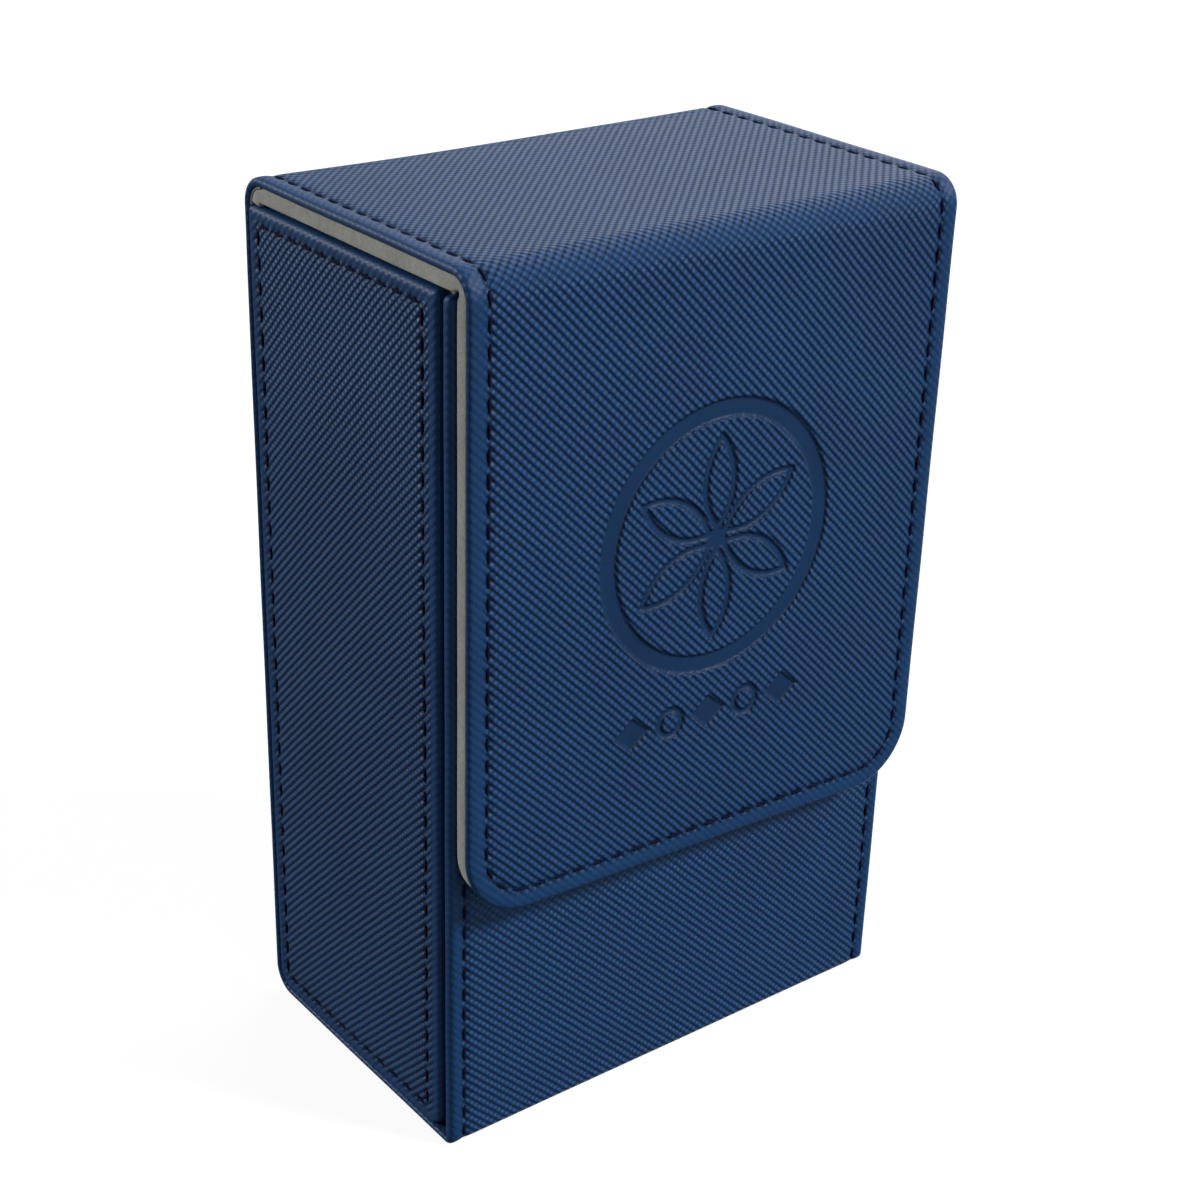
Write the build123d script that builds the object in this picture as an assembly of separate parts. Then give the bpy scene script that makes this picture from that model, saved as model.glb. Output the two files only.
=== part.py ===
from build123d import *
import os

# Card deck box: an upright leather-covered box with a wrap-over lid and front flap.
# Frame: origin under the middle of the closed box, +Z up, front towards -Y, sizes in mm.

# Driving dimensions
WIDTH = 88.6            # across the front
BOX_HEIGHT = 138.4      # floor to rim
BOX_DEPTH = 54.0        # front wall face to back wall face
STRIP_SKIN = 1.0        # leather strip that wraps front, bottom and back
WALL_BOARD = 1.2        # greyboard in the front, back and bottom
SIDE_SKIN = 0.8         # leather turned over each side board
SIDE_BOARD = 1.6
LINING = 0.6            # microsuede inside the box
SIDE_GROOVE = 1.2       # open groove between the front wall and a side panel
LID_SKIN = 0.7          # leather of the lid and flap
LID_BOARD = 0.7         # stiffener under that leather
PAD = 2.7               # microsuede-covered foam under the lid and flap
REST_GAP = 0.5          # between the pad and the closed box
PAD_INSET = 0.4         # the pad stands back from the leather's edge
HINGE_LINING = 0.3      # microsuede on the inside of the hinge leather
FLAP_BOTTOM = 42.4      # height of the flap's lower edge
FLAP_CORNER = 11.0      # radius of the flap's lower corners
BACK_CORNER = 4.5       # outer radius where the strip turns from bottom to back
FRONT_CORNER = 1.8      # the same from front to bottom
PANEL_CORNER = 3.5      # rounded lower corners of the side panels
EDGE_ROLL = 0.9         # rounding of the turned leather edges

# Seams: a thread lies in a shallow groove, in from the edges
SEAM_DEPTH = 0.35
SEAM_GROOVE = 0.9
THREAD = 0.7
STRIP_SEAM_INSET = 2.6
LID_SEAM_INSET = 3.3
SIDE_SEAM_INSET = 2.6
SIDE_SEAM_FRONT_INSET = 3.9

# Closure: magnets in the flap's pad pull on steel discs in the front wall
DISC_RADIUS = 5.0
DISC_CLEARANCE = 0.1
MAGNET_THICKNESS = 1.5
PLATE_THICKNESS = 0.8
DISC_SPACING = 50.0
DISC_ABOVE_EDGE = 11.0

# Pressed ornament on the flap
PRESS_DEPTH = 0.3
RING_CENTRE = 95.2      # height of the ring's centre
RING_OUTER = 21.8
RING_BAND = 3.0
PETALS = 6
PETAL_LENGTH = 16.0
PETAL_ARC = 11.5
PETAL_LINE = 1.1
HUB_RADIUS = 1.9
PETAL_START = 0.9       # the petals' tips lie inside the hub
ROW_CENTRE = 66.3       # height of the row under the ring
ROW_GAP = 1.3
ROW_RING = 2.7          # radius of the row's small rings
ROW_BAND = 1.1
LOZENGE_WIDTH = 6.8
LOZENGE_HEIGHT = 5.8

# Derived places
HALF = WIDTH / 2
STACK = REST_GAP + PAD + LID_BOARD + LID_SKIN
FOLD_RADIUS = STACK     # the hinge and the front fold both turn about the rim's level
Y_BACK = (BOX_DEPTH + STACK) / 2
Y_FLAP = -Y_BACK
Y_FRONT = Y_BACK - BOX_DEPTH
TOP = BOX_HEIGHT + STACK
LID_OUTER = LID_SKIN + LID_BOARD
FRONT_WALL = STRIP_SKIN + WALL_BOARD
Y_FRONT_IN = Y_FRONT + FRONT_WALL
Y_BACK_IN = Y_BACK - STRIP_SKIN - WALL_BOARD
FLOOR = STRIP_SKIN + WALL_BOARD
SIDE_PANEL = SIDE_SKIN + SIDE_BOARD
X_PANEL_IN = HALF - SIDE_PANEL
X_WELL = X_PANEL_IN - LINING
Y_PANEL_FRONT = Y_FRONT_IN + SIDE_GROOVE
Y_PANEL_BACK = Y_BACK - STRIP_SKIN
Y_HINGE = Y_BACK - FOLD_RADIUS
Y_FOLD = Y_FLAP + FOLD_RADIUS
Z_FOLD = TOP - FOLD_RADIUS
Y_FLAP_PAD = Y_FLAP + LID_OUTER
RADIAL_PAD = FOLD_RADIUS - LID_OUTER
HALF_PAD = HALF - PAD_INSET
EXTRA = 5.0             # how far cutting tools run past a face


def block(x0, x1, y0, y1, z0, z1):
    """A box between two corners."""
    centre = Pos((x0 + x1) / 2, (y0 + y1) / 2, (z0 + z1) / 2)
    return centre * Box(x1 - x0, y1 - y0, z1 - z0)


def edges_at(shape, axis, **place):
    """Edges along an axis whose centre has the given coordinates."""
    found = []
    for edge in shape.edges().filter_by(axis):
        middle = edge.center()
        if all(abs(getattr(middle, name) - value) < 0.01 for name, value in place.items()):
            found.append(edge)
    return found


def save(name, shape):
    """Write one node, turning a list of separate solids into a group."""
    whole = Compound(children=shape) if isinstance(shape, list) else shape
    export_step(whole, f"parts/{name}.step")


def strip_core(inset, x0, x1, top):
    """The space inside the wrapped strip, at a distance in from its outer face."""
    y0 = Y_FRONT + inset
    y1 = Y_BACK - inset
    core = block(x0, x1, y0, y1, inset, top)
    core = fillet(edges_at(core, Axis.X, Y=y0, Z=inset), max(FRONT_CORNER - inset, 0.2))
    return fillet(edges_at(core, Axis.X, Y=y1, Z=inset), BACK_CORNER - inset)


def strip_layer(outer_inset, inner_inset, x0, x1, top):
    """A U-shaped layer of the strip: down the front, under the bottom, up the back."""
    outside = strip_core(outer_inset, x0, x1, top)
    return outside - strip_core(inner_inset, x0 - EXTRA, x1 + EXTRA, top + EXTRA)


def panel_plate(x0, x1, inset):
    """A plate of a side panel, in from the panel's edges, with rounded lower corners."""
    y0 = Y_PANEL_FRONT + inset
    y1 = Y_PANEL_BACK - inset
    z0 = STRIP_SKIN + inset
    plate = block(x0, x1, y0, y1, z0, BOX_HEIGHT - inset)
    lower = edges_at(plate, Axis.X, Y=y0, Z=z0) + edges_at(plate, Axis.X, Y=y1, Z=z0)
    return fillet(lower, PANEL_CORNER - inset)


def flap_plate(y0, y1, inset, top=Z_FOLD):
    """A plate with the flap's outline, in from its edges, lower corners rounded."""
    z0 = FLAP_BOTTOM + inset
    plate = block(-HALF + inset, HALF - inset, y0, y1, z0, top)
    lower = []
    for x in (-HALF + inset, HALF - inset):
        lower += edges_at(plate, Axis.Y, X=x, Z=z0)
    return fillet(lower, FLAP_CORNER - inset)


def quarter_ring(y, side, inner, outer, half_width):
    """A quarter tube about X: side +1 turns down the back, -1 down the front."""
    tube = Pos(0, y, Z_FOLD) * Rot(0, 90, 0) * Cylinder(outer, 2 * half_width)
    tube -= Pos(0, y, Z_FOLD) * Rot(0, 90, 0) * Cylinder(inner, 2 * half_width + EXTRA)
    y0, y1 = sorted((y, y + side * (outer + EXTRA)))
    return tube & block(-HALF - EXTRA, HALF + EXTRA, y0, y1, Z_FOLD, TOP + EXTRA)


def disc_pair(y0, y1, radius):
    """Two discs facing along Y, where the closure pulls."""
    height = FLAP_BOTTOM + DISC_ABOVE_EDGE
    pair = []
    for x in (-DISC_SPACING / 2, DISC_SPACING / 2):
        place = Pos(x, (y0 + y1) / 2, height) * Rot(90, 0, 0)
        pair.append(place * Cylinder(radius, y1 - y0))
    return pair


def side_seam(width):
    """A closed rectangle of seam on the left side panel's face."""
    half = width / 2
    y0 = Y_PANEL_FRONT + SIDE_SEAM_FRONT_INSET
    y1 = Y_PANEL_BACK - SIDE_SEAM_INSET
    z0 = STRIP_SKIN + SIDE_SEAM_INSET
    z1 = BOX_HEIGHT - SIDE_SEAM_INSET
    x1 = -HALF + SEAM_DEPTH
    loop = block(-HALF, x1, y0 - half, y1 + half, z0 - half, z1 + half)
    return loop - block(-HALF, x1, y0 + half, y1 - half, z0 + half, z1 - half)


def strip_seam(side, width):
    """A seam along one long edge of the wrapped strip."""
    x = side * (HALF - STRIP_SEAM_INSET)
    return strip_layer(0, SEAM_DEPTH, x - width / 2, x + width / 2, BOX_HEIGHT)


def lid_seam(side, width):
    """A straight seam along one side of the lid."""
    x = side * (HALF - LID_SEAM_INSET)
    return block(x - width / 2, x + width / 2, Y_FOLD, Y_HINGE, TOP - SEAM_DEPTH, TOP)


def flap_seam(width):
    """A seam down both sides of the flap and across its foot."""
    half = width / 2
    y1 = Y_FLAP + SEAM_DEPTH
    outside = flap_plate(Y_FLAP, y1, LID_SEAM_INSET - half)
    return outside - flap_plate(Y_FLAP, y1, LID_SEAM_INSET + half, Z_FOLD + EXTRA)


def petal(length, arc):
    """A lens between two arcs, pointing up from the origin."""
    half = length / 2
    offset = (arc ** 2 - half ** 2) ** 0.5
    return Pos(offset, half) * Circle(arc) & Pos(-offset, half) * Circle(arc)


def lozenge():
    """One pressed lozenge of the row under the ring."""
    wide, high = LOZENGE_WIDTH / 2, LOZENGE_HEIGHT / 2
    return make_face(Polyline((wide, 0), (0, high), (-wide, 0), (0, -high), close=True))


def ornament():
    """The pressed ring, rosette and row of plain shapes, drawn as seen from the front."""
    ring = Circle(RING_OUTER) - Circle(RING_OUTER - RING_BAND)
    inner_length = PETAL_LENGTH - 4 * PETAL_LINE
    inner = Pos(0, 2 * PETAL_LINE) * petal(inner_length, PETAL_ARC - PETAL_LINE)
    outline = petal(PETAL_LENGTH, PETAL_ARC) - inner
    rosette = Sketch() + Circle(HUB_RADIUS)
    for turn in range(PETALS):
        rosette += Rot(0, 0, turn * 360 / PETALS) * Pos(0, PETAL_START) * outline
    shapes = [ring, rosette]
    row = ROW_CENTRE - RING_CENTRE
    ring_place = LOZENGE_WIDTH / 2 + ROW_GAP + ROW_RING
    for place in (-2 * ring_place, 0, 2 * ring_place):
        shapes.append(Pos(place, row) * lozenge())
    for place in (-ring_place, ring_place):
        shapes.append(Pos(place, row) * (Circle(ROW_RING) - Circle(ROW_RING - ROW_BAND)))
    return shapes


def pressed_tools():
    """Solids that press the ornament into the flap's face."""
    front = Plane(origin=(0, Y_FLAP, RING_CENTRE), x_dir=(1, 0, 0), z_dir=(0, -1, 0))
    return [extrude(front * shape, -PRESS_DEPTH) for shape in ornament()]


def make_strip():
    """The leather strip, its boards and its two seams."""
    strip = strip_layer(0, STRIP_SKIN, -HALF, HALF, BOX_HEIGHT)
    # leather turned round the front board's sides and over its top edge
    turned = block(-HALF, HALF, Y_FRONT, Y_FRONT_IN, FRONT_CORNER, BOX_HEIGHT)
    turned -= block(-HALF + STRIP_SKIN, HALF - STRIP_SKIN, Y_FRONT, Y_FRONT_IN,
                    0, BOX_HEIGHT - STRIP_SKIN)
    strip += turned
    rolled = []
    for x in (-HALF, HALF):
        for edge in strip.edges().filter_by(Axis.Z):
            middle = edge.center()
            if abs(middle.X - x) < 0.01 and abs(middle.Y - Y_FRONT) < 0.01:
                rolled.append(edge)
    strip = fillet(rolled, EDGE_ROLL)
    for side in (-1, 1):
        strip -= strip_seam(side, SEAM_GROOVE)
    save("outer_wrap", strip)
    core = strip_core(STRIP_SKIN, -X_PANEL_IN, X_PANEL_IN, BOX_HEIGHT)
    save("back_board", core & block(-HALF, HALF, Y_BACK_IN, Y_BACK, FLOOR, BOX_HEIGHT))
    save("bottom_board", core & block(-HALF, HALF, Y_FRONT_IN, Y_BACK, 0, FLOOR))
    front = block(-HALF + STRIP_SKIN, HALF - STRIP_SKIN, Y_FRONT + STRIP_SKIN, Y_FRONT_IN,
                  FRONT_CORNER, BOX_HEIGHT - STRIP_SKIN)
    y_plate = Y_FRONT + STRIP_SKIN
    for hole in disc_pair(y_plate, y_plate + PLATE_THICKNESS, DISC_RADIUS + DISC_CLEARANCE):
        front -= hole
    save("front_board", front)
    save("catch_plates", disc_pair(y_plate, y_plate + PLATE_THICKNESS, DISC_RADIUS))
    for side, name in ((-1, "left"), (1, "right")):
        save(f"{name}_wrap_seam", strip_seam(side, THREAD))


def make_sides():
    """Each side panel: a board in a leather tray, a seam round it and a lining inside."""
    cover = panel_plate(-HALF, -X_PANEL_IN, 0)
    cover = fillet(cover.faces().sort_by(Axis.X)[0].edges(), EDGE_ROLL)
    cover -= panel_plate(-HALF + SIDE_SKIN, -X_PANEL_IN + EXTRA, SIDE_SKIN)
    cover -= side_seam(SEAM_GROOVE)
    board = panel_plate(-HALF + SIDE_SKIN, -X_PANEL_IN, SIDE_SKIN)
    thread = side_seam(THREAD)
    lining = block(-X_PANEL_IN, -X_WELL, Y_FRONT_IN, Y_BACK_IN, FLOOR, BOX_HEIGHT)
    welt = block(-X_PANEL_IN - STRIP_SKIN, -X_PANEL_IN, Y_FRONT_IN, Y_PANEL_FRONT,
                 FRONT_CORNER, BOX_HEIGHT - STRIP_SKIN)
    pieces = {"side_cover": cover, "side_board": board, "side_seam": thread,
              "lining": lining, "corner_welt": welt}
    for name, piece in pieces.items():
        save(f"left_{name}", piece)
        save(f"right_{name}", mirror(piece, about=Plane.YZ))


def make_linings():
    """Linings on the front, back and floor, between the side linings."""
    save("front_lining", block(-X_WELL, X_WELL, Y_FRONT_IN, Y_FRONT_IN + LINING,
                               FLOOR, BOX_HEIGHT))
    save("back_lining", block(-X_WELL, X_WELL, Y_BACK_IN - LINING, Y_BACK_IN,
                              FLOOR, BOX_HEIGHT))
    save("floor_lining", block(-X_WELL, X_WELL, Y_FRONT_IN + LINING, Y_BACK_IN - LINING,
                               FLOOR, FLOOR + LINING))


def make_lid():
    """The flat top of the lid, between the hinge and the front fold."""
    cover = block(-HALF, HALF, Y_FOLD, Y_HINGE, TOP - LID_OUTER, TOP)
    top_edges = edges_at(cover, Axis.Y, X=-HALF, Z=TOP) + edges_at(cover, Axis.Y, X=HALF, Z=TOP)
    cover = fillet(top_edges, EDGE_ROLL)
    board = block(-HALF + LID_SKIN, HALF - LID_SKIN, Y_FOLD, Y_HINGE,
                  TOP - LID_OUTER, TOP - LID_SKIN)
    cover -= board
    for side in (-1, 1):
        cover -= lid_seam(side, SEAM_GROOVE)
    save("lid_cover", cover)
    save("lid_board", board)
    pad = block(-HALF_PAD, HALF_PAD, Y_FOLD, Y_HINGE,
                TOP - LID_OUTER - PAD, TOP - LID_OUTER)
    # the pad ends at the hinge in a rounded nose that leaves room for the hinge lining
    nose = quarter_ring(Y_HINGE, 1, RADIAL_PAD - PAD, RADIAL_PAD - HINGE_LINING, HALF_PAD)
    save("lid_pad", pad + nose)
    save("lid_seams", [lid_seam(-1, THREAD), lid_seam(1, THREAD)])


def make_folds():
    """The pieces that bend: leather and lining at the hinge, leather and pad at the fold."""
    inside = RADIAL_PAD - HINGE_LINING
    save("hinge_leather", quarter_ring(Y_HINGE, 1, RADIAL_PAD, FOLD_RADIUS, HALF))
    save("hinge_lining", quarter_ring(Y_HINGE, 1, inside, RADIAL_PAD, HALF_PAD))
    save("fold_leather", quarter_ring(Y_FOLD, -1, RADIAL_PAD, FOLD_RADIUS, HALF))
    save("fold_pad", quarter_ring(Y_FOLD, -1, RADIAL_PAD - PAD, RADIAL_PAD, HALF_PAD))


def make_flap():
    """The front flap: pressed leather over a board, a pad, magnets and a seam."""
    cover = flap_plate(Y_FLAP, Y_FLAP_PAD, 0)
    rim = [edge for edge in cover.faces().sort_by(Axis.Y)[0].edges()
           if edge.center().Z < Z_FOLD - 0.01]
    cover = fillet(rim, EDGE_ROLL)
    board = flap_plate(Y_FLAP + LID_SKIN, Y_FLAP_PAD, LID_SKIN)
    cover -= board
    cover -= flap_seam(SEAM_GROOVE)
    for tool in pressed_tools():
        cover -= tool
    save("flap_cover", cover)
    save("flap_board", board)
    pad = flap_plate(Y_FLAP_PAD, Y_FLAP_PAD + PAD, PAD_INSET)
    y_magnet = Y_FLAP_PAD + MAGNET_THICKNESS
    for hole in disc_pair(Y_FLAP_PAD, y_magnet, DISC_RADIUS + DISC_CLEARANCE):
        pad -= hole
    save("flap_pad", pad)
    save("flap_magnets", disc_pair(Y_FLAP_PAD, y_magnet, DISC_RADIUS))
    save("flap_seam", flap_seam(THREAD))


os.makedirs("parts", exist_ok=True)
make_strip()
make_sides()
make_linings()
make_lid()
make_folds()
make_flap()
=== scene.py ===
import math

import bpy
import numpy as np
from mathutils import Matrix, Vector


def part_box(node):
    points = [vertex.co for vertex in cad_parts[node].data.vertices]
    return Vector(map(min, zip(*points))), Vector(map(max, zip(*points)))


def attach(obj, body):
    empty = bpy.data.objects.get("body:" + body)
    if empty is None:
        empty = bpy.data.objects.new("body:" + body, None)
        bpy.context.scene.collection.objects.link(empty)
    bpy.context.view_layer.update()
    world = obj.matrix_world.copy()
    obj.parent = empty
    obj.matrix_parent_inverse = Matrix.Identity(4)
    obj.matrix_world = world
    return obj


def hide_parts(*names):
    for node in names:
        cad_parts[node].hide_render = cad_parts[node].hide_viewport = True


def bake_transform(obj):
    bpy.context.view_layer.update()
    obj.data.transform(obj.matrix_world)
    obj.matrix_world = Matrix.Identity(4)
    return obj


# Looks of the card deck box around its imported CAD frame. Lengths are in millimetres until a
# mesh is made. A leather strip is laid out flat as (x, s): x across the box, s along its line.

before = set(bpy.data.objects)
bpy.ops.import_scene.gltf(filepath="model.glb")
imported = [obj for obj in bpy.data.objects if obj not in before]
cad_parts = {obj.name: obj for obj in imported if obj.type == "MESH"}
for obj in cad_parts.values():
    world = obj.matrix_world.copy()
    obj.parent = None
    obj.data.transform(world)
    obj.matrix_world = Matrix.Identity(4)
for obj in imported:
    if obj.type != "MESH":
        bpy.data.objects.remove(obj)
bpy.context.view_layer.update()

MM = 0.001


def corners_of(node):
    """A CAD node's lowest and highest corner, in millimetres."""
    low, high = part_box(node)
    return np.array(low) / MM, np.array(high) / MM


wrap_low, wrap_high = corners_of("outer_wrap")
lid_low, lid_high = corners_of("lid_cover")
flap_low = corners_of("flap_cover")[0]
panel_low, panel_high = corners_of("left_side_cover")
board_low, board_high = corners_of("flap_board")
lid_pad_high = corners_of("lid_pad")[1]
flap_pad_low, flap_pad_high = corners_of("flap_pad")
hinge_lining_high = corners_of("hinge_lining")[1]
welt_low = corners_of("left_corner_welt")[0]

# Places that follow from the frame
HALF = wrap_high[0]
Y_FRONT, Y_BACK = wrap_low[1], wrap_high[1]
RIM = wrap_high[2]
TOP = lid_high[2]
Y_FOLD, Y_HINGE = lid_low[1], lid_high[1]
Y_FLAP = flap_low[1]
FLAP_BOTTOM = flap_low[2]
BEND = TOP - RIM                      # radius of the leather at the hinge and at the fold
LEATHER_LID = TOP - lid_pad_high[2]   # leather and stiffener over the pad
PAD = flap_pad_high[1] - flap_pad_low[1]
PAD_HALF = flap_pad_high[0]

# Corners and edges
FRONT_CORNER = 1.8
BACK_CORNER = 4.5
FLAP_CORNER = 11.0
FLAP_LEAN = 1.5                       # the flap hangs this much lower at its right-hand end
FRONT_WALL = welt_low[1] - Y_FRONT    # thickness of the front wall
WRAP_THICKNESS = panel_low[2]         # the strip under the bottom and behind the back
PANEL_THICKNESS = panel_high[0] - panel_low[0]
PANEL_CORNER = 3.5
SMALL_CORNER = 0.9
WRAP_ROLL = 0.42
PANEL_ROLL = 0.9
WALL_ROLL = 1.0
LID_ROLL = 0.66
PAD_ROLL = 0.55
SHARP_ROLL = 0.1
TURN_IN = 0.7

# Seams
WRAP_SEAM = 2.6
LID_SEAM = 3.3
PANEL_SEAM = 2.6
PANEL_SEAM_FRONT = 3.9
STITCH_PITCH = 3.7
PANEL_PITCH = 3.9
STITCH_LENGTH = 3.15
THREAD_RADIUS = 0.25
THREAD_LEVEL = -0.36                  # the middle of a stitch, sunk below the leather's face
THREAD_DIP = 0.34                     # how far its ends go down

# Pressed ornament on the flap: a ring with a rosette, over a row of plain shapes
PRESS_DEPTH = 0.3
RING_HEIGHT = 95.2
RING_OUTER = 21.8
RING_BAND = 3.0
PETALS = 6
PETAL_START = 0.9
PETAL_LENGTH = 16.0
PETAL_ARC = 11.5
PETAL_LINE = 1.1
HUB_RADIUS = 1.9
ROW_HEIGHT = 66.3
LOZENGE = (3.4, 2.9)                  # half its width and height
ROW_RING = 2.7
ROW_BAND = 1.1
ROW_STEP = 7.4

# How the cross-grain leather lies
WEAVE_PITCH = 1.05
REST_LEVEL = -0.1                     # the flat leather, just under the CAD face

# The padded inside
HINGE_FELT = 0.3
CREASE_DEPTH = 0.9
CREASE_WIDTH = 2.6


# ---------------------------------------------------------------- the leather's line

class Line:
    """A line in the YZ plane of straight runs and left quarter turns, measured by its length."""

    def __init__(self, y, z):
        self.runs = []
        self.knots = [0.0]
        self.y, self.z, self.heading = y, z, -math.pi / 2

    def add(self, length, radius):
        self.runs.append((self.knots[-1], self.y, self.z, self.heading, radius))
        self.knots.append(self.knots[-1] + length)

    def straight(self, length):
        self.add(length, 0.0)
        self.y += length * math.cos(self.heading)
        self.z += length * math.sin(self.heading)

    def quarter(self, radius):
        self.add(radius * math.pi / 2, radius)
        turned = self.heading + math.pi / 2
        self.y += radius * (math.sin(turned) - math.sin(self.heading))
        self.z += radius * (math.cos(self.heading) - math.cos(turned))
        self.heading = turned

    def place(self, x, s, out):
        """Points at x, at s along the line and standing out from it."""
        x, s, out = np.broadcast_arrays(x, s, out)
        points = np.zeros(s.shape + (3,))
        points[..., 0] = x
        for index, (start, y, z, heading, radius) in enumerate(self.runs):
            first, last = index == 0, index == len(self.runs) - 1
            here = (s >= start) | first
            here &= (s < self.knots[index + 1]) | last
            along = s[here] - start
            angle = heading + (along / radius if radius else 0 * along)
            if radius:
                py = y + radius * (np.sin(angle) - math.sin(heading))
                pz = z + radius * (math.cos(heading) - np.cos(angle))
            else:
                py = y + along * math.cos(heading)
                pz = z + along * math.sin(heading)
            points[here, 1] = py + out[here] * np.sin(angle)
            points[here, 2] = pz - out[here] * np.cos(angle)
        return points


line = Line(Y_FRONT, RIM)
line.straight(RIM - FRONT_CORNER)
line.quarter(FRONT_CORNER)
line.straight(Y_BACK - Y_FRONT - FRONT_CORNER - BACK_CORNER)
line.quarter(BACK_CORNER)
line.straight(RIM - BACK_CORNER)
line.quarter(BEND)
line.straight(Y_HINGE - Y_FOLD)
line.quarter(BEND)
line.straight(RIM - FLAP_BOTTOM)
(S_FRONT, S_FRONT_END, S_BOTTOM, S_BOTTOM_END, S_BACK, S_HINGE, S_LID, S_FOLD, S_FLAP,
 S_END) = line.knots
S_CUT = (S_LID + S_FOLD) / 2          # the hinge piece and the flap piece meet on the lid
S_SPLIT = S_HINGE - 10.5 * STITCH_PITCH


# ---------------------------------------------------------------- reliefs

def smooth(value, low, high):
    """0 below low, 1 above high, and a soft step between."""
    share = np.clip((value - low) / (high - low), 0, 1)
    return share * share * (3 - 2 * share)


def sewn(distance, along, pitch):
    """Leather pulled down by a seam: its height, and painted shade along its channel, darkest at
    the stitch holes.
    """
    stitch = 0.5 - 0.5 * np.cos(2 * math.pi * along / pitch)
    channel = np.exp(-(distance / 0.5) ** 2)
    pull = np.exp(-(distance / 1.3) ** 2)
    height = -channel * (0.07 + 0.27 * stitch) - pull * (0.05 + 0.06 * stitch)
    return height, channel * (0.3 + 0.7 * stitch)


def waves(x, s):
    """The slight unevenness of hand-laid leather."""
    return 0.05 * np.sin(x / 13 + 0.7) * np.sin(s / 17 + 1.9) + 0.03 * np.sin((x + 1.7 * s) / 9)


def ornament(x, z):
    """Distance to the pressed shapes, less than zero inside them."""
    up = z - RING_HEIGHT
    reach = np.hypot(x, up)
    found = np.abs(reach - RING_OUTER + RING_BAND / 2) - RING_BAND / 2
    found = np.minimum(found, reach - HUB_RADIUS)
    step = 2 * math.pi / PETALS
    angle = (np.arctan2(x, up) + step / 2) % step - step / 2
    px, py = reach * np.sin(angle), reach * np.cos(angle) - PETAL_START - PETAL_LENGTH / 2
    offset = math.sqrt(PETAL_ARC ** 2 - (PETAL_LENGTH / 2) ** 2)
    petal = np.maximum(np.hypot(px - offset, py), np.hypot(px + offset, py)) - PETAL_ARC
    found = np.minimum(found, np.abs(petal + PETAL_LINE / 2) - PETAL_LINE / 2)
    row = z - ROW_HEIGHT
    nearest = np.minimum(np.abs(x), np.abs(np.abs(x) - 2 * ROW_STEP))
    lozenge = nearest / LOZENGE[0] + np.abs(row) / LOZENGE[1] - 1
    found = np.minimum(found, lozenge * LOZENGE[0] * LOZENGE[1] / math.hypot(*LOZENGE))
    small = np.hypot(np.abs(x) - ROW_STEP, row) - ROW_RING + ROW_BAND / 2
    return np.minimum(found, np.abs(small) - ROW_BAND / 2)


def seam_inset(s):
    """The seam stands further in on the lid than on the wrapped strip."""
    return WRAP_SEAM + (LID_SEAM - WRAP_SEAM) * smooth(s, S_SPLIT, S_HINGE)


def border(edge, inset):
    """The puffed border between a turned edge and its seam, and how much its grain is stretched."""
    puff = 0.1 * np.sin(math.pi * np.clip(edge / inset, 0, 1)) ** 2
    return puff, 0.8 * (1 - smooth(edge, 0.6 * inset, inset))


def wrap_relief(x, s, edge):
    """The strip round the box and over the hinge."""
    inset = seam_inset(s)
    side = HALF - np.abs(x)
    seam, painted_shade = sewn(side - inset, S_CUT - s, STITCH_PITCH)
    puff, plain = border(side, inset)
    level = 0.55 + 0.45 * smooth(s, S_HINGE - 20, S_HINGE)
    sag = 0.45 * (1 - (x / HALF) ** 2) * np.exp(-((s - (S_HINGE + S_LID) / 2) / 7) ** 2)
    height = REST_LEVEL + seam + puff * level - sag + waves(x, s)
    return height, plain, painted_shade


FLAP_RADIUS = FLAP_CORNER - LID_SEAM
FLAP_SIDE = S_END - FLAP_CORNER - S_CUT
FLAP_ARC = FLAP_RADIUS * math.pi / 2
FLAP_FOOT = 2 * (HALF - FLAP_CORNER)
FLAP_SEAM = 2 * FLAP_SIDE + 2 * FLAP_ARC + FLAP_FOOT
FLAP_STITCHES = round(FLAP_SEAM / STITCH_PITCH)
FLAP_PITCH = FLAP_SEAM / FLAP_STITCHES


def hung(x, s, out):
    """The place of a point on the lid and flap: the flap leans a little to one side."""
    share = np.clip((s - S_FOLD) / (S_END - S_FOLD), 0, 1)
    return line.place(x, s + FLAP_LEAN * x / HALF * share, out)


def flap_seam_at(along):
    """The place (x, s) of the seam down one side of the flap, across its foot and up again."""
    mirror = np.where(along > FLAP_SEAM / 2, 1, -1)
    along = np.minimum(along, FLAP_SEAM - along)
    turn = np.clip((along - FLAP_SIDE) / FLAP_RADIUS, 0, math.pi / 2)
    foot = np.maximum(along - FLAP_SIDE - FLAP_ARC, 0)
    x = HALF - FLAP_CORNER + FLAP_RADIUS * np.cos(turn) - foot
    s = S_CUT + np.minimum(along, FLAP_SIDE) + FLAP_RADIUS * np.sin(turn)
    return mirror * x, s


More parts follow.
